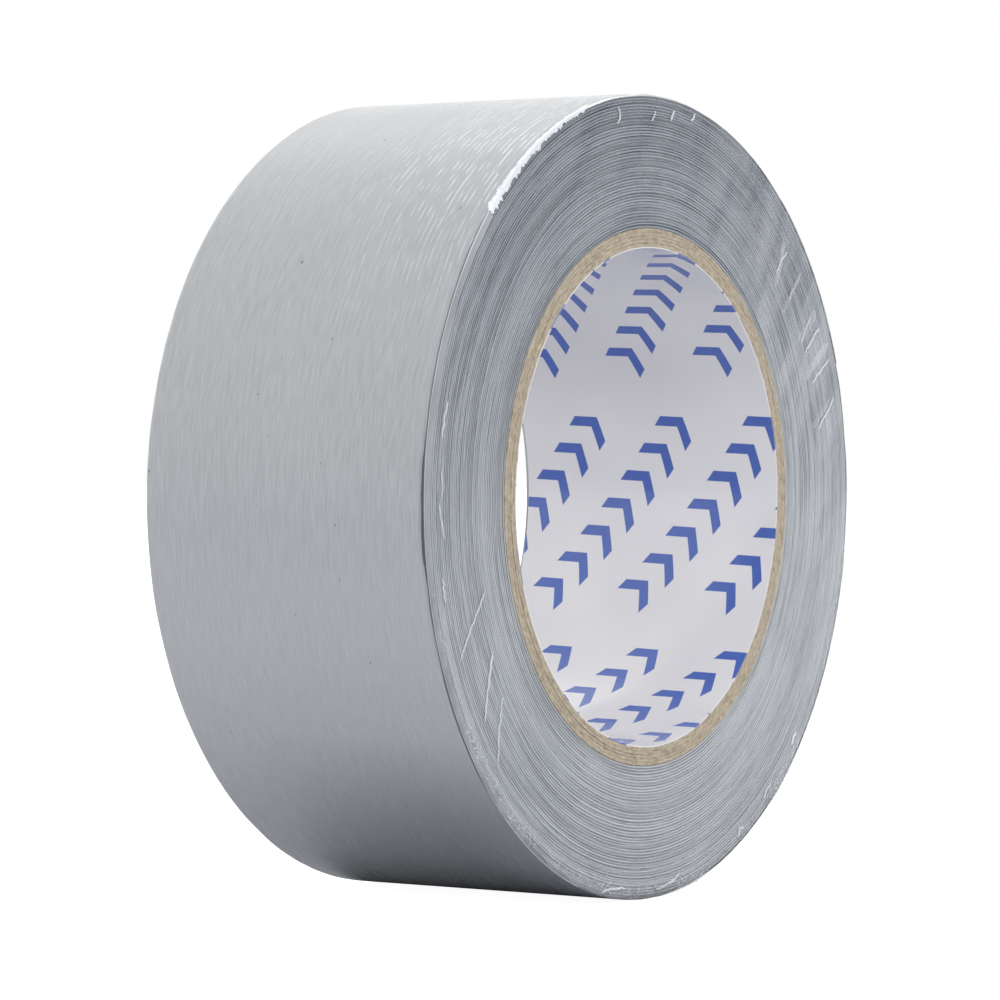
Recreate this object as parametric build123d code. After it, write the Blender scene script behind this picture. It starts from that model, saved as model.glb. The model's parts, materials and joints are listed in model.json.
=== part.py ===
"""Roll of silver cloth tape, standing on its rim. Sizes are millimetres.

The bore's axis is Y and the origin is on it, midway between the two end faces. The near end face looks
along -Y. Angles go round the bore from +X towards +Z.

The strip is wound so that its free end lies on the +X side. Going up and round from the free end, the
outermost turn sinks by one thickness and then passes under the free end. Its outline is two half
circles: the first has its centre half a thickness towards the free end, the second is about the bore.
"""
import os

from build123d import *

# Driving dimensions
TAPE_WIDTH = 50.0
ROLL_RADIUS = 61.5
BORE_RADIUS = 38.0
CORE_RADIUS = 41.0
CORE_LENGTH = 47.5
CORE_SHIFT = -1.25  # the core is flush with the near face and stops short of the far one
LINER_THICKNESS = 0.2
PLY_COUNT = 5

# The strip is a laminate, listed from the outside of the roll inwards
BACKING_THICKNESS = 0.05
SCRIM_THICKNESS = 0.03
ADHESIVE_THICKNESS = 0.05

# The free end of the strip peels away from the roll about the peel line
FREE_END_ANGLE = 20.0
PEEL_LINE_ANGLE = 50.0
FREE_END_LIFT = 0.03  # play between the free end and the turn below it
PEEL_LINE_GAP = 0.05  # play between the free end and the rest of its turn, in degrees

# Clear film on each end face
FILM_THICKNESS = 0.05
FILM_INNER_RADIUS = 42.0
FILM_OUTER_RADIUS = 61.1

# Worked out from the above
STRIP_THICKNESS = BACKING_THICKNESS + SCRIM_THICKNESS + ADHESIVE_THICKNESS
PLY_THICKNESS = (CORE_RADIUS - BORE_RADIUS - LINER_THICKNESS) / PLY_COUNT
FIRST_HALF_END = FREE_END_ANGLE + 180.0
OUTLINE_END = FREE_END_ANGLE + 360.0
FIRST_HALF_CENTRE = Vector(STRIP_THICKNESS / 2, 0).rotate(Axis.Z, FREE_END_ANGLE)


def turn_point(angle, depth, first_half):
    """A point of the outermost turn, this deep under its outer face."""
    if first_half:
        radius = ROLL_RADIUS - STRIP_THICKNESS / 2 - depth
        return FIRST_HALF_CENTRE + Vector(radius, 0).rotate(Axis.Z, angle)
    radius = ROLL_RADIUS - STRIP_THICKNESS - depth
    return Vector(radius, 0).rotate(Axis.Z, angle)


def turn_arc(start, end, depth, first_half):
    """One arc of the outermost turn, within one of its two halves."""
    angles = (start, (start + end) / 2, end)
    return Edge.make_three_point_arc(*(turn_point(angle, depth, first_half) for angle in angles))


def turn_arcs(start, end, depth):
    """The outermost turn from one angle to another, at one depth."""
    arcs = []
    if start < FIRST_HALF_END:
        arcs.append(turn_arc(start, min(end, FIRST_HALF_END), depth, True))
    if end > FIRST_HALF_END:
        arcs.append(turn_arc(max(start, FIRST_HALF_END), end, depth, False))
    return arcs


def across_the_roll(face, length, shift=0.0):
    """An end view of a piece, drawn out this long along the bore."""
    return Pos(0, shift, 0) * extrude(Plane.XZ * face, length / 2, both=True)


def ring(inner, outer, length, shift=0.0):
    """A round tube about the bore's axis."""
    return across_the_roll(Circle(outer) - Circle(inner), length, shift)


def strip_layer(start, end, top, bottom):
    """One layer of the strip on the outermost turn, between two depths."""
    outer = turn_arcs(start, end, top)
    inner = turn_arcs(start, end, bottom)
    first_end = Edge.make_line(inner[0] @ 0, outer[0] @ 0)
    last_end = Edge.make_line(outer[-1] @ 1, inner[-1] @ 1)
    return across_the_roll(make_face([first_end, *outer, last_end, *inner]), TAPE_WIDTH)


def laminate(prefix, start, end, lift=0.0):
    """The strip's three layers over one stretch of the outermost turn."""
    layers = {}
    top = -lift
    for name, thickness in (
        ("backing", BACKING_THICKNESS),
        ("scrim", SCRIM_THICKNESS),
        ("adhesive", ADHESIVE_THICKNESS),
    ):
        layers[f"{prefix}_{name}"] = strip_layer(start, end, top, top + thickness)
        top += thickness
    return layers


def windings():
    """The strip under its outermost turn, wound solid on the core."""
    arcs = turn_arcs(FREE_END_ANGLE, OUTLINE_END, STRIP_THICKNESS)
    step = Edge.make_line(arcs[-1] @ 1, arcs[0] @ 0)
    return across_the_roll(make_face([*arcs, step]) - Circle(CORE_RADIUS), TAPE_WIDTH)


def core():
    """The printed liner and the plies of the paper tube, from the bore outwards."""
    pieces = {}
    inner = BORE_RADIUS + LINER_THICKNESS
    pieces["core_liner"] = ring(BORE_RADIUS, inner, CORE_LENGTH, CORE_SHIFT)
    for number in range(1, PLY_COUNT + 1):
        outer = inner + PLY_THICKNESS
        pieces[f"core_ply_{number}"] = ring(inner, outer, CORE_LENGTH, CORE_SHIFT)
        inner = outer
    return pieces


def side_films():
    """The clear film on each end face."""
    middle = (TAPE_WIDTH + FILM_THICKNESS) / 2
    return {
        f"{side}_side_film": ring(FILM_INNER_RADIUS, FILM_OUTER_RADIUS, FILM_THICKNESS, shift)
        for side, shift in (("near", -middle), ("far", middle))
    }


pieces = {
    **core(),
    "tape_windings": windings(),
    **laminate("outer_turn", PEEL_LINE_ANGLE + PEEL_LINE_GAP, OUTLINE_END - PEEL_LINE_GAP),
    **laminate("tape_end", FREE_END_ANGLE, PEEL_LINE_ANGLE, FREE_END_LIFT),
    **side_films(),
}

os.makedirs("parts", exist_ok=True)
for name, piece in pieces.items():
    export_step(piece, f"parts/{name}.step")
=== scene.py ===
"""Looks of the roll of silver cloth tape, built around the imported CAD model.

Lengths are metres. The bore's axis is Y, the near end face looks along -Y, and angles go round the bore
from +X towards +Z. Profiles are lists of (radius, y) pairs.
"""
import json
from math import atan2, cos, hypot, pi, radians, sin, tau

import bmesh
import bpy
import numpy as np
from mathutils import Matrix, Vector


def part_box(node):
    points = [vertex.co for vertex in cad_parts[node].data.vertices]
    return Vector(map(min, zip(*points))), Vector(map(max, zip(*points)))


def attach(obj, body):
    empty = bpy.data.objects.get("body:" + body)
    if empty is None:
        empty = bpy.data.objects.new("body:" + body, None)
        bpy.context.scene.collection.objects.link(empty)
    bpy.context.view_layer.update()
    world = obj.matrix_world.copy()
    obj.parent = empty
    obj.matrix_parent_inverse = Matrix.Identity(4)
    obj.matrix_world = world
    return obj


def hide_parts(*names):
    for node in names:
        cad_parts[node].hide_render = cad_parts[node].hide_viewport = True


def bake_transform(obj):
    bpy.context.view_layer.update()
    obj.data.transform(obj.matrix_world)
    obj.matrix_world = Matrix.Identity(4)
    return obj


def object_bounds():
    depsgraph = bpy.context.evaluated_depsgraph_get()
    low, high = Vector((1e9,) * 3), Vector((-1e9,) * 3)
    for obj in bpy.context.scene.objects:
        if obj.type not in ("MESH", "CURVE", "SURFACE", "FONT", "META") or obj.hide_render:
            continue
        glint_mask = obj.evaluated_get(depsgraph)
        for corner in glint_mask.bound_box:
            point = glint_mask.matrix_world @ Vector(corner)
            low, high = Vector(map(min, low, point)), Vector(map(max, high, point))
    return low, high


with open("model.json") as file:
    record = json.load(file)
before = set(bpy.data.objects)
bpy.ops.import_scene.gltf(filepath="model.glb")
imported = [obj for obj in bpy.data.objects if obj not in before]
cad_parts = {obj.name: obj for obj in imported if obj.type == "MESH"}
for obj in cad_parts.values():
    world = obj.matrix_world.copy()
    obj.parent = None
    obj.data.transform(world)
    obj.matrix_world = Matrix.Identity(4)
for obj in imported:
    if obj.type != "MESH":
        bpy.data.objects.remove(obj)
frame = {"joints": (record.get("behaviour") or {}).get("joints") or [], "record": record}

CAD_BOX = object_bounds()
MM = 0.001

# ---------------------------------------------------------------- sizes, from the frame
MOUNTS = {mount["name"]: mount for mount in frame["record"]["mounts"]}
BORE_RADIUS = MOUNTS["core_bore"]["dims"]["r_mm"] * MM
CORE_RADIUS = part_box("core_ply_5")[1][2]
CORE_NEAR, CORE_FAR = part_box("core_ply_1")[0][1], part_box("core_ply_1")[1][1]
HALF_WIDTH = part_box("tape_windings")[1][1]
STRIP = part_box("tape_windings")[0][2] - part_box("outer_turn_backing")[0][2]
ROLL_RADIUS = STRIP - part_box("outer_turn_backing")[0][2]
FLOOR_Z = CAD_BOX[0][2]
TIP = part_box("tape_end_backing")
FREE_END_ANGLE = atan2(TIP[0][2], TIP[1][0])
PEEL = frame["joints"][0]["pos_m"]
PEEL_ANGLE = atan2(PEEL[2], PEEL[0])
LIFT = 0.03 * MM  # how far the free end stands off the roll

# ---------------------------------------------------------------- sizes, of the looks
CORNER = 0.7 * MM  # how far the strip's edges are rolled over at the rim
LIP_WIDTH = 0.25 * MM  # how far the near film laps over the rim
FINE_ANGLES = 320
FOLD_START = 108  # places round the near rim, in degrees: the ragged fold begins here,
FOLD_END = 137  # gives way to the lip here,
LIP_END = 228  # and the plain lip turns into crumpled film here
LOW_LIP_END = 350
GAP_START, GAP_END = 168, 194  # where the outermost turn is drawn back furthest
DRAWN_END = 205  # where it is no longer drawn back
ROUNDED_START, ROUNDED_END = 134, 206  # where the rim under the film is rounder
random = np.random.default_rng(7)


def smooth_noise(angles, size, waves=24, first=1):
    """Noise round the roll that meets itself after a full turn, of this typical size."""
    total = np.zeros_like(angles)
    numbers = np.arange(first, waves + 1)
    for wave in numbers:
        total += random.normal() * np.cos(wave * angles + random.uniform(0, tau)) / wave**0.5
    return size * total / np.sum(0.5 / numbers) ** 0.5


def window(angles, start, stop, soft):
    """1 between two angles in degrees and 0 outside, with soft ends this many degrees long."""
    inside = np.minimum(np.degrees(angles) - start, stop - np.degrees(angles)) / soft
    return np.clip(inside, 0, 1)


# ---------------------------------------------------------------- meshes
def grid_mesh(name, *grids, wrap_rows=True):
    """One mesh of quads over grids of points. Columns close up; rows close up too, or end in caps."""
    points, faces = [], []
    for grid in grids:
        rows, columns = grid.shape[:2]
        row = np.arange(rows if wrap_rows else rows - 1)[:, None] * columns
        next_row = (row + columns) % (rows * columns)
        column = np.arange(columns)[None, :]
        next_column = (column + 1) % columns
        corners = (row + column, row + next_column, next_row + next_column, next_row + column)
        quads = len(points) + np.stack(corners, axis=-1).reshape(-1, 4)
        faces += quads.tolist()
        if not wrap_rows:
            first = len(points)
            last = first + (rows - 1) * columns
            faces += [list(range(first, first + columns)), list(range(last, last + columns))]
        points += grid.reshape(-1, 3).tolist()
    mesh = bpy.data.meshes.new(name)
    mesh.from_pydata(points, [], faces)
    return finished(name, mesh)


def finished(name, mesh):
    """An object of this mesh in the scene, shaded smooth, with its faces looking outwards."""
    work = bmesh.new()
    work.from_mesh(mesh)
    bmesh.ops.recalc_face_normals(work, faces=work.faces)
    work.to_mesh(mesh)
    work.free()
    mesh.polygons.foreach_set("use_smooth", [True] * len(mesh.polygons))
    mesh.set_sharp_from_angle(angle=radians(40))
    piece = bpy.data.objects.new(name, mesh)
    bpy.context.scene.collection.objects.link(piece)
    return piece


def round_points(angles, radii, ys):
    """Points round the bore's axis. Angles are a column; radii and ys are grids or rows."""
    radii, ys = np.broadcast_arrays(radii + 0 * angles, ys + 0 * angles)
    return np.stack((radii * np.cos(angles), ys, radii * np.sin(angles)), axis=-1)


def all_round(count):
    """A column of evenly spaced angles for one full turn."""
    return np.linspace(0, tau, count, endpoint=False)[:, None]


def place(piece, nodes, material, body="roll"):
    """Finishes a piece: what it stands for, its material and the body that carries it."""
    piece.data.materials.append(material)
    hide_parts(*nodes)
    if body:
        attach(piece, body)


# ---------------------------------------------------------------- materials
class Look:
    """A material with one Principled shader, and short ways to add the nodes that drive it."""

    def __init__(self, name, **values):
        self.material = bpy.data.materials.new(name)
        self.material.use_nodes = True
        self.tree = self.material.node_tree
        self.shader = self.tree.nodes["Principled BSDF"]
        for socket, value in values.items():
            self.shader.inputs[socket.replace("_", " ")].default_value = value

    def node(self, kind, inputs=None, output=0, **settings):
        """Adds a node, links or sets its inputs, and returns one of its outputs."""
        made = self.tree.nodes.new("ShaderNode" + kind)
        for setting, value in settings.items():
            setattr(made, setting, value)
        for socket, value in (inputs or {}).items():
            self.feed(made.inputs[socket], value)
        return made.outputs[output]

    def feed(self, socket, value):
        """Links an output to a socket, or sets the socket to a plain value."""
        if isinstance(value, bpy.types.NodeSocket):
            self.tree.links.new(value, socket)
        else:
            socket.default_value = value

    def math(self, operation, *values):
        """The result of a math node."""
        return self.node("Math", dict(enumerate(values)), operation=operation)

    def drive(self, **sockets):
        """Feeds the Principled shader's sockets."""
        for socket, value in sockets.items():
            self.feed(self.shader.inputs[socket.replace("_", " ")], value)

    def position(self):
        """The point's own position: x, y and z in metres, in the roll's frame at rest."""
        coordinates = self.node("TexCoord", output="Object")
        split = self.tree.nodes.new("ShaderNodeSeparateXYZ")
        self.feed(split.inputs[0], coordinates)
        return split.outputs

    def radius(self, x, z):
        """The point's distance from the bore's axis."""
        squares = self.math("ADD", self.math("MULTIPLY", x, x), self.math("MULTIPLY", z, z))
        return self.math("SQRT", squares)

    def noise(self, x, y, z, scales, detail=2.0, roughness=0.5):
        """Noise whose grain is 1/scale metres long along each of the three given directions."""
        scaled = [self.math("MULTIPLY", value, scale) for value, scale in zip((x, y, z), scales)]
        vector = self.node("CombineXYZ", dict(enumerate(scaled)))
        inputs = {"Vector": vector, "Scale": 1.0, "Detail": detail, "Roughness": roughness}
        return self.node("TexNoise", inputs, output="Fac")

    def ramp(self, value, low, high, bottom=0.0, top=1.0):
        """Maps low..high to bottom..top, and holds the value outside that range."""
        inputs = {"Value": value, "From Min": low, "From Max": high, "To Min": bottom, "To Max": top}
        return self.node("MapRange", inputs)

    def blend(self, factor, first, second):
        """A mix of two colours."""
        made = self.tree.nodes.new("ShaderNodeMix")
        made.data_type = "RGBA"
        self.feed(made.inputs[0], factor)
        self.feed(made.inputs[6], first)
        self.feed(made.inputs[7], second)
        return made.outputs[2]

    def bump(self, height, depth, under=None):
        """A bump of this depth in metres, on top of another one if given."""
        inputs = {"Height": height, "Distance": depth, "Strength": 1.0}
        if under is not None:
            inputs["Normal"] = under
        return self.node("Bump", inputs)


def rgb(red, green, blue):
    """An opaque colour, as linear shares of red, green and blue."""
    return (red, green, blue, 1.0)


def silver_backing():
    """Satin silver polyethylene over cloth, whose threads press in as fine bumps. Painted light in its
    colour: short light lines along the threads (painted glints) in the upper part, a lighter band low on
    the side, shade at the top and low down towards the near side, and a dark line of shade at the near
    rim.
    """
    look = Look("silver_backing", Specular_IOR_Level=0.5)
    x, y, z = look.position()
    streaks = look.noise(x, y, z, (70, 900, 70), detail=2.0)
    fine = look.noise(x, y, z, (300, 6500, 300), detail=0.0)
    clouds = look.noise(x, y, z, (45, 60, 45), detail=2.0)
    shift = look.math("MULTIPLY", look.noise(x, y, z, (60, 60, 60), detail=1.0), 9.0)
    warp = look.math("SINE", look.math("ADD", look.math("MULTIPLY", y, tau / (1.0 * MM)), shift))
    broken = look.ramp(look.noise(x, y, z, (330, 1700, 330), detail=1.0), 0.47, 0.60)
    threads = look.math("MULTIPLY", look.ramp(warp, 0.6, 0.95), broken)
    # Painted highlights: glints along the threads, stronger in cloudy patches and towards the near side.
    glint_mask = look.math("MULTIPLY", threads, look.ramp(clouds, 0.3, 0.6, 0.5, 1.0))
    glint_mask = look.math("MULTIPLY", glint_mask, look.ramp(y, 0.006, -0.020, 0.10, 1.0))
    angle = look.math("ARCTAN2", z, x)
    weft = look.math("SINE", look.math("MULTIPLY", angle, 240.0))
    grey = look.blend(look.ramp(clouds, 0.3, 0.7), rgb(0.36, 0.374, 0.388), rgb(0.375, 0.389, 0.403))
    grain = look.math("MULTIPLY", look.ramp(fine, 0.3, 0.7), 0.26)
    grey = look.blend(grain, grey, rgb(0.62, 0.64, 0.66))
    # Painted light: a lighter band on the lower side of the roll, above the darkest part.
    painted_light_band = look.math("MULTIPLY", look.ramp(z, 0.006, -0.020), look.ramp(z, -0.056, -0.034, 0.0, 0.30))
    grey = look.blend(painted_light_band, grey, rgb(0.62, 0.635, 0.66))
    # Painted shade: darker towards the top of the roll.
    grey = look.blend(look.ramp(z, 0.046, 0.060, 0.0, 0.45), grey, rgb(0.28, 0.29, 0.305))
    # Painted shade: darker low down on the roll, towards the near end face.
    painted_bottom_shade = look.math("MULTIPLY", look.ramp(z, -0.034, -0.047, 0.0, 0.55), look.ramp(y, 0.018, -0.012))
    grey = look.blend(painted_bottom_shade, grey, rgb(0.20, 0.21, 0.235))
    # Painted highlights: the glints are kept to the upper part of the roll, where they lighten the
    # colour.
    painted_glint_lines = look.math("MULTIPLY", glint_mask, look.ramp(z, 0.022, 0.050, 0.06, 0.95))
    colour = look.blend(painted_glint_lines, grey, rgb(0.80, 0.81, 0.83))
    specks = look.ramp(look.noise(x, y, z, (800, 800, 800), detail=0.0), 0.86, 0.88)
    colour = look.blend(look.math("MULTIPLY", specks, 0.6), colour, rgb(0.12, 0.13, 0.14))
    # Painted shade: a dark line at the near rim, where the outermost turn is drawn back from the film.
    at_rim = look.ramp(y, -24.32 * MM, -24.46 * MM)
    groove = look.math("MULTIPLY", at_rim, look.ramp(x, -0.044, -0.047, 0.0, 0.85))
    colour = look.blend(groove, colour, rgb(0.10, 0.11, 0.125))
    flat = look.bump(weft, 0.0006 * MM)
    stretched = look.bump(streaks, 0.05 * MM, flat)
    normal = look.bump(threads, 0.012 * MM, stretched)
    look.drive(Base_Color=colour, Roughness=look.ramp(streaks, 0.3, 0.7, 0.2, 0.3), Normal=normal)
    return look.material


def layered_edge():
    """The strip's cut edge, turn upon turn: thin light rings on slate grey, with painted shade that
    darkens it near the top and a dark ring of painted shade in the groove at the near rim.
    """
    look = Look("layered_edge")
    x, y, z = look.position()
    radius = look.radius(x, z)
    wander = look.noise(x, y, z, (45, 0, 45), detail=1.0)
    swayed = look.math("ADD", radius, look.math("MULTIPLY", wander, 0.6 * MM))
    rings = look.noise(x, swayed, z, (30, 4600, 30), detail=0.0)
    turns = look.math("SINE", look.math("MULTIPLY", swayed, tau / (0.45 * MM)))
    dashes = look.noise(x, radius, z, (300, 4300, 300), detail=1.0)
    patches = look.noise(x, y, z, (48, 48, 48), detail=2.0)
    lines = look.math("ADD", look.math("MULTIPLY", rings, 0.40), look.math("MULTIPLY", dashes, 0.35))
    lines = look.math("ADD", lines, look.math("MULTIPLY", turns, 0.16))
    low = look.ramp(patches, 0.3, 0.7, 0.255, 0.245)
    share = look.ramp(look.math("SUBTRACT", lines, low), 0.01, 0.23)
    # Painted shade: the slate and the pale rings both darken towards the top of the face, leaning with x.
    height = look.ramp(look.math("SUBTRACT", z, look.math("MULTIPLY", x, 0.2)), 0.060, -0.01)
    slate = look.blend(height, rgb(0.02, 0.03, 0.05), rgb(0.24, 0.26, 0.285))
    pale = look.blend(height, rgb(0.26, 0.30, 0.35), rgb(0.53, 0.555, 0.58))
    colour = look.blend(share, slate, pale)
    # Painted shade: a dark ring at the rim where the outermost turn is drawn back, standing in for the
    # shaded groove.
    at_rim = look.ramp(radius, 60.6 * MM, 61.0 * MM)
    groove = look.math("MULTIPLY", at_rim, look.ramp(x, -0.042, -0.046, 0.0, 0.9))
    colour = look.blend(groove, colour, rgb(0.07, 0.08, 0.09))
    normal = look.bump(lines, 0.12 * MM)
    look.drive(Base_Color=colour, Roughness=look.ramp(dashes, 0.3, 0.7, 0.34, 0.58), Normal=normal)
    return look.material


def kraft_paper():
    """Brown paper board: short fibres, darker flecks and soft lines where the plies meet."""
    look = Look("kraft_paper", Roughness=0.9)
    x, y, z = look.position()
    radius = look.radius(x, z)
    fibres = look.noise(x, radius, z, (700, 2600, 700), detail=4.0, roughness=0.65)
    flecks = look.noise(x, y, z, (1500, 1500, 1500), detail=2.0)
    tone = look.math("ADD", look.math("MULTIPLY", fibres, 0.7), look.math("MULTIPLY", flecks, 0.3))
    colour = look.blend(look.ramp(tone, 0.35, 0.65), rgb(0.33, 0.27, 0.19), rgb(0.62, 0.54, 0.42))
    look.drive(Base_Color=colour, Normal=look.bump(tone, 0.12 * MM))
    return look.material


def printed_liner():
    """Glossy white paper, printed with slanting rows of blue arrowheads."""
    gloss = {"Roughness": 0.22, "Specular_IOR_Level": 0.55, "Coat_Weight": 0.4, "Coat_Roughness": 0.08}
    look = Look("printed_liner", **gloss)
    x, y, z = look.position()
    up = look.math("MULTIPLY", look.math("ARCTAN2", z, x), BORE_RADIUS / MM)
    across = look.math("MULTIPLY", y, 1 / MM)
    # The print repeats every sixth of the way round and every `shift` along the bore. A row of arrowheads
    # runs along the diagonal of that cell. All its sizes are millimetres.
    repeat = tau * BORE_RADIUS / MM / 6
    shift = 16.4
    pitch = 5.86  # from one arrowhead to the next
    run_length = 41.0  # of a run of arrowheads, before the gap
    half_height = 3.3  # of an arrowhead
    half_stroke = 1.0
    slope = 0.75  # how far its arms lean back
    tip = 4.0  # the middle of its stroke, from where its pitch begins
    first_up, first_across = -2.8, 4.0  # a point that a row runs through
    first_run = 20.5  # how far before that point a run begins
    slant = atan2(2 * shift, repeat)
    along_length = hypot(repeat, 2 * shift)
    rows = shift * cos(slant)
    up_from = look.math("SUBTRACT", up, first_up)
    across_from = look.math("SUBTRACT", across, first_across)
    along = look.math(
        "SUBTRACT",
        look.math("MULTIPLY", up_from, cos(slant)),
        look.math("MULTIPLY", across_from, sin(slant)),
    )
    aside = look.math(
        "ADD",
        look.math("MULTIPLY", up_from, sin(slant)),
        look.math("MULTIPLY", across_from, cos(slant)),
    )
    row = look.math("ROUND", look.math("DIVIDE", aside, rows))
    off = look.math("ABSOLUTE", look.math("SUBTRACT", aside, look.math("MULTIPLY", row, rows)))
    moved = look.math("ADD", along, look.math("MULTIPLY", row, shift * sin(slant)))
    start = look.math("ADD", moved, first_run)
    inside = look.math("FLOORED_MODULO", start, along_length)
    step = look.math("FLOORED_MODULO", inside, pitch)
    bent = look.math("ADD", step, look.math("MULTIPLY", off, slope))
    stroke = look.math("ABSOLUTE", look.math("SUBTRACT", bent, tip))
    in_stroke = look.ramp(stroke, half_stroke, half_stroke + 0.1, 1.0, 0.0)
    in_row = look.ramp(off, half_height, half_height + 0.15, 1.0, 0.0)
    in_run = look.ramp(inside, run_length - 0.1, run_length, 1.0, 0.0)
    ink = look.math("MULTIPLY", look.math("MULTIPLY", in_stroke, in_row), in_run)
    mottle = look.noise(x, y, z, (900, 900, 900), detail=2.0)
    clouds = look.noise(x, y, z, (35, 25, 35), detail=2.0)
    paper = look.blend(look.ramp(clouds, 0.35, 0.65), rgb(0.73, 0.72, 0.735), rgb(0.83, 0.82, 0.83))
    blue = look.blend(mottle, rgb(0.04, 0.105, 0.44), rgb(0.06, 0.135, 0.50))
    colour = look.blend(ink, paper, blue)
    waves = look.bump(clouds, 0.8 * MM)
    look.drive(Base_Color=colour, Normal=look.bump(mottle, 0.004 * MM, waves))
    return look.material


def clear_film(name, low, high, colour=rgb(0.92, 0.95, 0.98), right=None):
    """Thin clear film, milky between two alphas in slanting streaks. The higher may differ towards +X."""
    look = Look(name, Base_Color=colour, Roughness=0.15, Specular_IOR_Level=0.5)
    x, y, z = look.position()
    along = look.math("ADD", look.math("MULTIPLY", x, 0.55), look.math("MULTIPLY", z, 0.83))
    aside = look.math("SUBTRACT", look.math("MULTIPLY", x, 0.83), look.math("MULTIPLY", z, 0.55))
    milk = look.noise(aside, y, along, (150, 20, 45), detail=2.0)
    wrinkles = look.noise(aside, y, along, (900, 300, 350), detail=3.0)
    highest = look.ramp(x, 0.015, 0.040, high, right or high)
    look.drive(Alpha=look.ramp(milk, 0.42, 0.62, low, highest), Normal=look.bump(wrinkles, 0.10 * MM))
    return look.material


def tacky_adhesive():
    """The strip's sticky side: pale grey, with the cloth's weave pressed into it."""
    look = Look("tacky_adhesive", Roughness=0.35, Specular_IOR_Level=0.5)
    x, y, z = look.position()
    angle = look.math("ARCTAN2", z, x)
    weft = look.math("SINE", look.math("MULTIPLY", angle, 350.0))
    warp = look.math("SINE", look.math("MULTIPLY", y, tau / (0.8 * MM)))
    weave = look.math("MULTIPLY", look.math("ADD", weft, warp), 0.25)
    grime = look.noise(x, y, z, (260, 260, 260), detail=4.0)
    tone = look.math("ADD", look.math("MULTIPLY", weave, 0.5), grime)
    colour = look.blend(look.ramp(tone, 0.2, 0.9), rgb(0.36, 0.37, 0.37), rgb(0.58, 0.58, 0.57))
    look.drive(Base_Color=colour, Normal=look.bump(tone, 0.03 * MM))
    return look.material


def cotton_cloth():
    """Off-white cotton thread."""
    look = Look("cotton_cloth", Roughness=0.9)
    x, y, z = look.position()
    fibres = look.noise(x, y, z, (900, 5000, 900), detail=3.0)
    colour = look.blend(look.ramp(fibres, 0.3, 0.7), rgb(0.50, 0.48, 0.42), rgb(0.78, 0.76, 0.70))
    look.drive(Base_Color=colour, Normal=look.bump(fibres, 0.03 * MM))
    return look.material


SILVER = silver_backing()
EDGE = layered_edge()
KRAFT = kraft_paper()
LINER = printed_liner()
FILM = clear_film("clear_film", 0.03, 0.07, right=0.16)
CREASE = clear_film("film_crease", 0.10, 0.22)
BRIGHT_CREASE = clear_film("film_bright_crease", 0.4, 0.75)
LIP = clear_film("film_lip", 0.5, 0.85, rgb(0.47, 0.49, 0.53))
LOW_LIP = clear_film("film_low_lip", 0.10, 0.35, rgb(0.62, 0.64, 0.67))
CRUMPLE = clear_film("film_crumple", 0.25, 0.55)
# Painted highlight: the bead's film is light grey and nearly opaque, standing in for light on the film's
# rolled edge.
BEAD_HIGHLIGHT = clear_film("film_bead_painted_highlight", 0.6, 0.95, rgb(0.70, 0.72, 0.75))
# Painted highlight: the fold's film is nearly white and opaque, standing in for light caught on the rim.
FOLD = clear_film("film_fold_painted_highlight", 0.85, 1.0)
ADHESIVE = tacky_adhesive()
CLOTH = cotton_cloth()


# ---------------------------------------------------------------- core
def tube(name, inner, outer, near, far, bevel, wobble):
    """A round tube with small bevels, whose ends wander a little as cut paper board does."""
    angles = all_round(192)
    near_radii = [inner, inner, inner + bevel, outer - bevel, outer]
    radii = np.array(near_radii + [outer, outer - bevel, inner + bevel])
    at_far = np.array([0, 1, 1, 1, 1, 0, 0, 0], float)
    inwards = np.array([1, 1, 0, 0, 1, 1, 0, 0], float) * bevel
    near_end = near + smooth_noise(angles, wobble)
    far_end = far - smooth_noise(angles, wobble)
    ys = near_end * (1 - at_far) + far_end * at_far + inwards * (1 - 2 * at_far)
    return grid_mesh(name, round_points(angles, radii, ys))


def core():
    """The printed liner and the five plies of the paper core, from the bore outwards."""
    inner = BORE_RADIUS
    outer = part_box("core_liner")[1][2]
    trim = 0.05 * MM
    piece = tube("liner", inner, outer, CORE_NEAR + trim, CORE_FAR - trim, 0.02 * MM, 0.01 * MM)
    place(piece, ["core_liner"], LINER)
    for number in range(1, 6):
        node = f"core_ply_{number}"
        inner, outer = outer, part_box(node)[1][2]
        sink = random.uniform(0.0, 0.12) * MM
        ends = (CORE_NEAR + sink, CORE_FAR - sink)
        piece = tube(f"ply_{number}", inner, outer, *ends, 0.07 * MM, 0.02 * MM)
        place(piece, [node], KRAFT)


# ---------------------------------------------------------------- wound tape
def turn_point_radius(angles, depth):
    """Distance from the bore's axis to the outermost turn's outline, this deep, at each angle."""
    from_tip = np.mod(angles - FREE_END_ANGLE, tau)
    first = STRIP / 2 * np.cos(from_tip) + ROLL_RADIUS - STRIP / 2
    return np.where(from_tip < pi, first, ROLL_RADIUS - STRIP) - depth


def layer_radii(start, stop):
    """Radii of the visible bundles of turns on an end face: uneven, about 0.4 mm each."""
    widths = random.uniform(0.26, 0.55, 80) * MM
    edges = start + np.concatenate(([0.0], np.cumsum(widths)))
    edges = edges[edges < stop - 0.25 * MM]
    return np.append(edges, stop)


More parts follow.
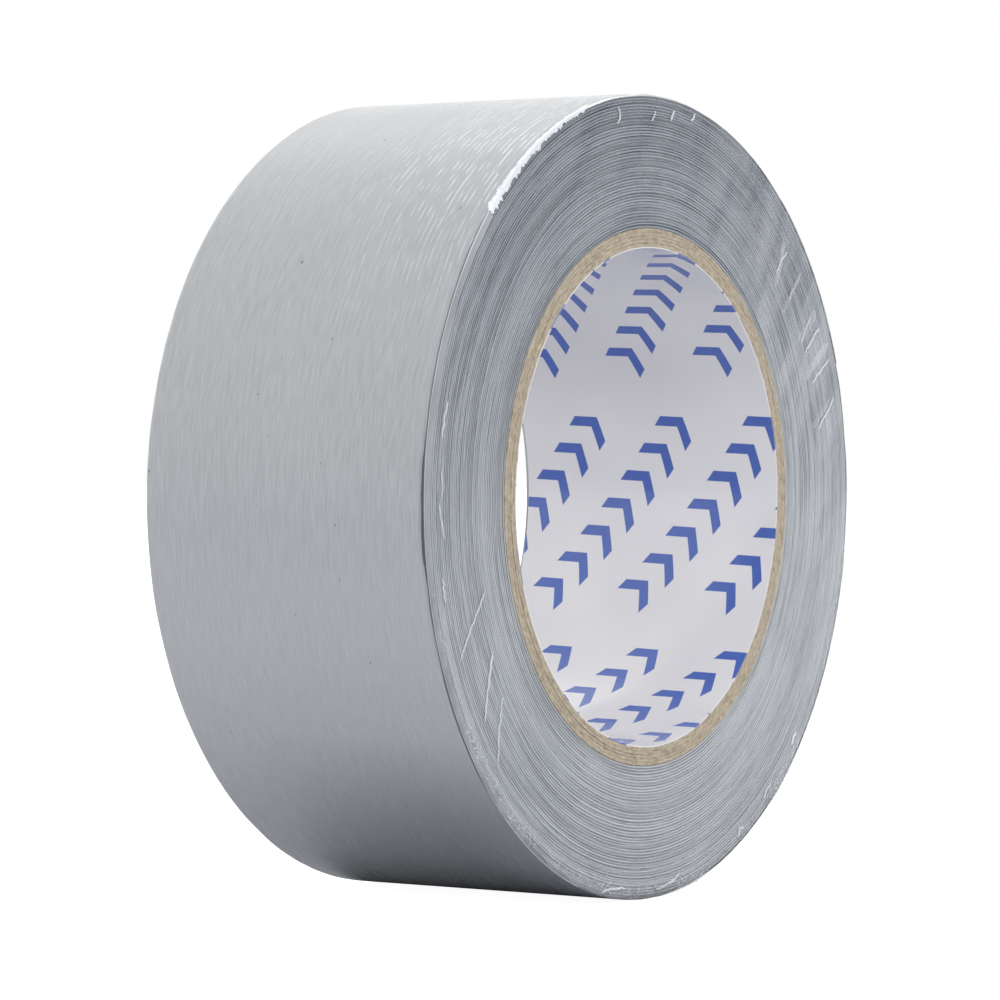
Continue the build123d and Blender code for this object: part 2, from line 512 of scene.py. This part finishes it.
def end_face(angles, edges, outer):
    """Grids of radii and of depths under the end face, for ridges of tape from the core outwards."""
    radii, depths = [], []
    drift = np.zeros_like(angles)
    for inner, next_inner in zip(edges[:-1], edges[1:]):
        drift = 0.7 * drift + smooth_noise(angles, 0.006 * MM, 10)
        sway = smooth_noise(angles, 0.02 * MM, 8)
        level = 0.09 * MM + drift + random.uniform(-0.02, 0.02) * MM
        width = next_inner - inner
        groove = random.uniform(0.05, 0.16) * MM
        for share, extra in ((0.0, groove), (0.3, 0.0), (0.75, 0.01 * MM)):
            radii.append(inner + share * width + sway)
            depths.append(level + extra)
    radii.append(outer + 0 * angles)
    depths.append(0.2 * MM + 0 * angles)
    radii, depths = np.hstack(radii), np.maximum(np.hstack(depths), 0.01 * MM)
    corner = CORNER + 0.7 * MM * window(angles, ROUNDED_START, ROUNDED_END, 6)
    into_corner = np.clip((radii - (outer - corner)) / corner, 0, 1)
    return radii, depths + corner * (1 - np.sqrt(1 - 0.98 * into_corner**2))


def windings():
    """All turns under the outermost one: ridged end faces, and silver backing round the outside."""
    angles = all_round(FINE_ANGLES)
    outer = turn_point_radius(angles, STRIP + 0.01 * MM)
    edges = layer_radii(CORE_RADIUS + 0.03 * MM, ROLL_RADIUS - 2.5 * STRIP)
    near_radii, near_depths = end_face(angles, edges, outer)
    far_radii, far_depths = end_face(angles, edges, outer)
    radii = np.hstack((near_radii, far_radii[:, ::-1]))
    ys = np.hstack((-HALF_WIDTH + near_depths, (HALF_WIDTH - far_depths)[:, ::-1]))
    piece = grid_mesh("windings", round_points(angles, radii, ys))
    place(piece, ["tape_windings"], EDGE)
    piece.data.materials.append(SILVER)
    outside = near_radii.shape[1] - 1
    columns = radii.shape[1]
    for face in piece.data.polygons:
        if all(corner % columns in (outside, outside + 1) for corner in face.vertices):
            face.material_index = 1


def strip_profile(top, bottom, ends):
    """Depths and ys of a loop round the strip's section, with its two edges rolled over the rim."""
    across = np.concatenate((np.linspace(0, 1, 9) ** 0.7 * 0.04, np.linspace(0.05, 0.95, 41)))
    across = np.concatenate((across, 1 - (np.linspace(1, 0, 9) ** 0.7 * 0.04)))
    ys = ends * (2 * across - 1)
    over = np.clip((np.abs(ys) - (ends - CORNER)) / CORNER, 0, 1)
    drop = CORNER * 0.55 * (1 - np.sqrt(1 - 0.96 * over**2))
    return np.concatenate((top + drop, (bottom + drop)[::-1])), np.concatenate((ys, ys[::-1]))


def strip_points(start, stop, count, top, bottom, lift=0.0):
    """A grid over a stretch of the strip between two depths, lying on the roll or lifted a little."""
    angles = np.linspace(start, stop, count)[:, None]
    depths, ys = strip_profile(top, bottom, HALF_WIDTH - 0.02 * MM)
    at_edge = np.abs(ys) > HALF_WIDTH - 1.2 * CORNER
    ruffle = smooth_noise(angles, 0.03 * MM, 90) * at_edge
    ripple = smooth_noise(angles, 0.02 * MM, 40)
    radii = turn_point_radius(angles, 0.0) + lift - depths + ripple * (lift == 0) - np.abs(ruffle)
    drawn_back = LIP_WIDTH + (0.16 + 0.5 * window(angles, GAP_START, GAP_END, 7)) * MM
    drawn_back = drawn_back * window(angles, FOLD_END, DRAWN_END, 4)
    ys = ys + 0.4 * ruffle + drawn_back * np.clip(-ys / HALF_WIDTH * 8 - 7, 0, 1)
    return round_points(angles, radii, ys)


def outer_turn():
    """The outermost turn, from where it meets the free end right round to the turn under the tip."""
    gap = 0.0008  # left at each end, in radians
    points = strip_points(PEEL_ANGLE + gap, FREE_END_ANGLE + tau - gap, 640, 0.0, STRIP - 0.02 * MM)
    piece = grid_mesh("outer_turn", points, wrap_rows=False)
    nodes = ["outer_turn_backing", "outer_turn_scrim", "outer_turn_adhesive"]
    place(piece, nodes, SILVER)


def frayed_threads():
    """Ends of the cloth's threads, which stick out past the cut at the free end."""
    threads = []
    for across in np.arange(-23.6, 23.8, 0.8):
        length = random.uniform(0.2, 1.7) * MM / ROLL_RADIUS
        angles = np.linspace(FREE_END_ANGLE + 0.004, FREE_END_ANGLE - length, 6)[:, None]
        along = np.linspace(0, 1, 6)[:, None]
        radii = ROLL_RADIUS + LIFT - 0.065 * MM + 0.09 * MM * np.minimum(3 * along, 1)
        ys = across * MM + random.normal() * 0.25 * MM * along**2
        turns = np.linspace(0, tau, 6, endpoint=False)
        thick = 0.07 * MM * (1 - 0.5 * along)
        heights, sides = 0.4 * thick * np.cos(turns), thick * np.sin(turns)
        threads.append(round_points(angles, radii + heights, ys + sides))
    return threads


def tape_end():
    """The free end in its three layers, lying a little off the roll."""
    cloth_top, cloth_bottom = 0.05 * MM, 0.08 * MM
    threads = frayed_threads()
    layers = (
        ("free_end_backing", 0.0, cloth_top, [], "tape_end_backing", "silver_backing", SILVER),
        ("free_end_cloth", cloth_top, cloth_bottom, threads, "tape_end_scrim", "cloth_scrim", CLOTH),
        ("free_end_adhesive", cloth_bottom, STRIP, [], "tape_end_adhesive", "adhesive", ADHESIVE),
    )
    for name, top, bottom, extra, node, slot, material in layers:
        points = strip_points(FREE_END_ANGLE, PEEL_ANGLE, 90, top, bottom, LIFT)
        piece = grid_mesh(name, points, *extra, wrap_rows=False)
        place(piece, [node], material, body=None)
        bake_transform(piece)


# ---------------------------------------------------------------- film
# Crumples along the near rim: the middle and spread of each cluster in degrees, then how many
RIM_CRUMPLES = ((222, 14, 110), (248, 8, 30), (271, 6, 40), (296, 8, 25), (318, 8, 40), (338, 7, 20))


def side_film(name, node, side):
    """A ring of thin film lying on an end face, with shallow waves."""
    low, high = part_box(node)
    around, across = 256, 48
    angles = all_round(around)
    inner, outer = CORE_RADIUS + 1.0 * MM, high[0]
    steps = np.linspace(0, 1, across)
    radii = inner + (outer - inner) * steps
    waves = np.zeros((around, across))
    for _ in range(14):
        turns, phase, centre = random.integers(2, 30), random.uniform(0, tau), random.uniform(0, 1)
        hump = np.exp(-(((steps - centre) / 0.25) ** 2))
        waves += random.normal() * np.cos(turns * angles + phase) * hump
    waves = 0.006 * MM * waves
    under = HALF_WIDTH + np.abs(waves)
    over = under + 0.03 * MM
    ys = side * np.hstack((under, over[:, ::-1]))
    radii = np.concatenate((radii, radii[::-1]))
    piece = grid_mesh(name, round_points(angles, radii, ys))
    place(piece, [node], FILM)


def fold_points(start, end, width, height, bow, count=28):
    """Points of a raised fold of film from one point of the near face to another, in metres."""
    along = np.linspace(0, 1, count)[:, None]
    start, end = np.array(start), np.array(end)
    run = end - start
    aside = np.array((-run[1], run[0])) / np.hypot(*run)
    middle = start + run * along + aside * bow * np.sin(pi * along)
    swell = np.clip(np.sin(pi * along) * 3, 0.05, 1)
    wander = smooth_noise(along * 5, 0.08, 8)
    section = ((-0.5, 0.0), (-0.3, 0.9), (0.0, 1.0), (0.3, 0.8), (0.5, 0.0), (0.0, -0.2))
    points = []
    for share, rise in section:
        flat = middle + aside * (share * width * swell + wander)
        level = -HALF_WIDTH / MM - 0.07 - rise * height * swell
        points.append(np.hstack((flat[:, :1], level, flat[:, 1:])))
    return np.stack(points, axis=1) * MM


def near_folds(name, folds, material):
    """One piece made of folds of the near film."""
    piece = grid_mesh(name, *folds, wrap_rows=False)
    piece.data.materials.append(material)
    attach(piece, "roll")


def fold_family(stretch, count, radius, lean, length, width, height):
    """Folds spread over a stretch of angles, alike but not the same. Lean is from the rim's direction."""
    folds = []
    for angle in np.radians(np.linspace(*stretch, count)):
        angle += random.normal(0, 0.02)
        run = angle + pi / 2 + radians(lean + random.normal(0, 7))
        middle = (radius + random.normal(0, 0.6)) * np.array((cos(angle), sin(angle)))
        reach = length * random.uniform(0.35, 0.6) * np.array((cos(run), sin(run)))
        wide, bow = width * random.uniform(0.7, 1.3), random.uniform(-0.4, 0.4)
        folds.append(fold_points(middle - reach, middle + reach, wide, height, bow))
    return folds


def creases():
    """Folds of the near film: broad faint ones at the upper right, thin bright ones in small groups."""
    broad = fold_family((45, 15), 5, 54.0, -75, 9.0, 1.5, 0.10)
    bright = fold_family((43, 13), 6, 54.5, -72, 7.0, 0.30, 0.14)
    bright += fold_family((200, 218), 3, 52.5, -45, 14.0, 0.32, 0.16)
    bright += fold_family((168, 192), 4, 57.5, 8, 5.0, 0.27, 0.16)
    bright += fold_family((258, 272), 2, 59.8, 3, 8.0, 0.45, 0.16)
    bright += fold_family((295, 318), 3, 58.8, 10, 3.5, 0.50, 0.16)
    bright += fold_family((78, 98), 4, 58.6, 60, 2.5, 0.35, 0.16)
    near_folds("near_creases_broad", broad, CREASE)
    near_folds("near_creases_bright", bright, BRIGHT_CREASE)


def rim_crumples():
    """Many small crumples of the near film along the lower part of the rim."""
    crumples = []
    for middle, spread, count in RIM_CRUMPLES:
        for _ in range(count):
            angle = radians(random.normal(middle, spread))
            radius = 60.8 - abs(random.normal(0, 0.8))
            lean = angle + pi / 2 + random.normal(0, 0.8)
            half = random.uniform(0.2, 0.7)
            centre = radius * np.array((cos(angle), sin(angle)))
            reach = half * np.array((cos(lean), sin(lean)))
            width, height = random.uniform(0.08, 0.17), random.uniform(0.05, 0.12)
            bow = random.normal(0, 0.15)
            crumples.append(fold_points(centre - reach, centre + reach, width, height, bow, 10))
    near_folds("near_rim_crumples", crumples, CRUMPLE)


def rim_ribbon(name, angles, section, thickness, material):
    """A ribbon of film along the near rim. Its section is (radius, y) points that vary round the rim."""
    outside = [np.hstack((radius + 0 * angles, y + 0 * angles)) for radius, y in section]
    inside = [point + np.array((-thickness, thickness)) for point in reversed(outside)]
    loop = np.stack(outside + inside, axis=1) * MM
    ribbon = grid_mesh(name, round_points(angles, loop[:, :, 0], loop[:, :, 1]), wrap_rows=False)
    ribbon.data.materials.append(material)
    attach(ribbon, "roll")


def rim_angles(start, stop):
    """A column of finely spaced angles between two angles in degrees."""
    return np.radians(np.linspace(start, stop, int((stop - start) * 4)))[:, None]


def rim_film():
    """Where the near film laps the rim: a lip with a bead, a crumpled lip below, a ragged fold above. The
    bead and the fold are real raised film, but their light, nearly opaque colours are painted highlights
    on the film's rolled edge.
    """
    angles = rim_angles(FOLD_END, LIP_END)
    taper = window(angles, 100, LIP_END - 2, 20)
    edge = -24.75 + smooth_noise(angles, 0.015, 60)
    face = 61.0 - 0.65 * taper + smooth_noise(angles, 0.12, 80)
    lip = ((61.40, edge), (61.30, -24.98), (61.10, -25.06), (face - 0.1, -25.06))
    rim_ribbon("near_rim_lip", angles, lip, 0.03, LIP)

    angles = rim_angles(LIP_END - 4, LOW_LIP_END)
    edge = -24.80 + smooth_noise(angles, 0.05, 700, 60)
    rim = 61.30 + smooth_noise(angles, 0.05, 700, 100)
    face = 60.30 + smooth_noise(angles, 0.2, 80) + smooth_noise(angles, 0.2, 300, 20)
    lip = ((61.40, edge), (rim, -24.98), (rim - 0.3, -25.08), (face, -25.06))
    rim_ribbon("near_rim_low_lip", angles, lip, 0.03, LOW_LIP)

    # Painted highlight: a light, nearly opaque bead along the rim stands in for the light on the film's
    # rolled edge.
    angles = rim_angles(FOLD_END, 250)
    size = 0.035 + 0.085 * window(angles, 100, 168, 31) * window(angles, 130, 250, 6)
    middle = -24.82 + smooth_noise(angles, 0.01, 60)
    bead = ((61.40, middle + size), (61.42 + size, middle), (61.40, middle - size), (61.3, middle - size))
    rim_ribbon("near_rim_bead_highlight", angles, bead, 0.02, BEAD_HIGHLIGHT)

    angles = rim_angles(FOLD_START, FOLD_END)
    along = (np.degrees(angles) - FOLD_START) / (FOLD_END - FOLD_START)
    width = (0.22 + 0.58 * along**0.8) * window(angles, 100, FOLD_END + 0.3, 1.0)

    def ragged(size):
        return 1 + smooth_noise(angles, size, 700, 60)

    fold = (
        (61.46, -24.95 + 0.85 * width * ragged(0.3)),
        (61.50 + 0.25 * width * ragged(0.5), -24.90 + 0.4 * width * ragged(0.4)),
        (61.45 + 0.10 * width * ragged(0.5), -25.12),
        (61.30 - 0.45 * width * ragged(0.5), -25.10),
        (61.20 - 0.75 * width * ragged(0.5), -25.06),
    )
    # Painted highlight: the ragged fold's near-white colour stands in for the glint on the upper rim.
    rim_ribbon("near_rim_fold_highlight", angles, fold, 0.03, FOLD)


core()
windings()
outer_turn()
tape_end()
side_film("near_film", "near_side_film", -1)
side_film("far_film", "far_side_film", 1)
creases()
rim_crumples()
rim_film()


# ---------------------------------------------------------------- floor, light and camera
def floor():
    """A plain floor: white to the camera, and a matt pale grey for the light it throws on the roll."""
    size = 3.0
    corners = [(size * x, size * y, FLOOR_Z) for x, y in ((-1, -1), (1, -1), (1, 1), (-1, 1))]
    mesh = bpy.data.meshes.new("floor")
    mesh.from_pydata(corners, [], [(0, 1, 2, 3)])
    ground = bpy.data.objects.new("floor", mesh)
    bpy.context.scene.collection.objects.link(ground)
    look = Look("pale_floor", Base_Color=rgb(0.48, 0.485, 0.52), Roughness=0.9, Specular_IOR_Level=0.0)
    glow = look.node("LightPath", output="Is Camera Ray")
    look.drive(Emission_Color=rgb(1, 1, 1), Emission_Strength=look.math("MULTIPLY", glow, 0.95))
    mesh.materials.append(look.material)


def panel(name, azimuth, elevation, distance, size, radiance):
    """A soft box: a rectangular light that looks at the roll from this direction, in degrees."""
    turn, tilt = radians(azimuth), radians(elevation)
    spot = Vector((sin(turn) * cos(tilt), -cos(turn) * cos(tilt), sin(tilt))) * distance
    light = bpy.data.lights.new(name, "AREA")
    light.shape = "RECTANGLE"
    light.size, light.size_y = size
    light.energy = radiance * pi * size[0] * size[1]
    lamp = bpy.data.objects.new(name, light)
    lamp.location = spot
    lamp.rotation_euler = (-spot).to_track_quat("-Z", "Y").to_euler()
    lamp.visible_camera = False
    bpy.context.scene.collection.objects.link(lamp)


def surroundings():
    """The studio: white to the camera. To the roll it is brightest level with it and dimmest below."""
    world = bpy.data.worlds.new("studio")
    bpy.context.scene.world = world
    world.use_nodes = True
    tree = world.node_tree
    tree.nodes.clear()
    coordinates = tree.nodes.new("ShaderNodeTexCoord")
    split = tree.nodes.new("ShaderNodeSeparateXYZ")
    ramp = tree.nodes.new("ShaderNodeValToRGB")
    height = tree.nodes.new("ShaderNodeMapRange")
    height.inputs["From Min"].default_value = -1.0
    stops = ((0.0, 0.5), (0.5, 1.3), (0.62, 1.25), (1.0, 1.1))
    for position, _ in stops[1:-1]:
        ramp.color_ramp.elements.new(position)
    elements = sorted(ramp.color_ramp.elements, key=lambda element: element.position)
    for element, (position, level) in zip(elements, stops):
        element.position = position
        element.color = (level, level, level, 1)
    lit = tree.nodes.new("ShaderNodeBackground")
    seen = tree.nodes.new("ShaderNodeBackground")
    seen.inputs["Color"].default_value = rgb(1, 1, 1)
    path = tree.nodes.new("ShaderNodeLightPath")
    mix = tree.nodes.new("ShaderNodeMixShader")
    out = tree.nodes.new("ShaderNodeOutputWorld")
    link = tree.links.new
    link(coordinates.outputs["Generated"], split.inputs[0])
    link(split.outputs["Z"], height.inputs["Value"])
    link(height.outputs[0], ramp.inputs["Fac"])
    link(ramp.outputs["Color"], lit.inputs["Color"])
    link(path.outputs["Is Camera Ray"], mix.inputs[0])
    link(lit.outputs[0], mix.inputs[1])
    link(seen.outputs[0], mix.inputs[2])
    link(mix.outputs[0], out.inputs["Surface"])


def camera():
    """Almost level, from the near left, far off with a long lens."""
    azimuth, elevation, distance = radians(-56.5), radians(1.14), 0.680
    right, up = -2.5 * MM, -0.7 * MM  # how far the view is moved from the bore's middle
    towards = Vector((sin(azimuth) * cos(elevation), -cos(azimuth) * cos(elevation), sin(elevation)))
    side = Vector((cos(azimuth), sin(azimuth), 0))
    above = towards.cross(side)
    data = bpy.data.cameras.new("camera")
    data.sensor_width = 36.0
    data.lens = 157.1
    view = bpy.data.objects.new("camera", data)
    spot = towards * distance + side * right + above * up
    view.matrix_world = Matrix.Translation(spot) @ Matrix((side, above, towards)).transposed().to_4x4()
    bpy.context.scene.collection.objects.link(view)
    bpy.context.scene.camera = view


floor()
surroundings()
panel("overhead", 130, 47, 1.0, (1.2, 0.42), 0.48)
panel("key", 95, 50, 1.0, (0.3, 0.3), 7.0)
panel("front_right", 55, -2, 0.32, (0.16, 0.1), 1.0)
camera()
bpy.context.scene.view_settings.view_transform = "Standard"
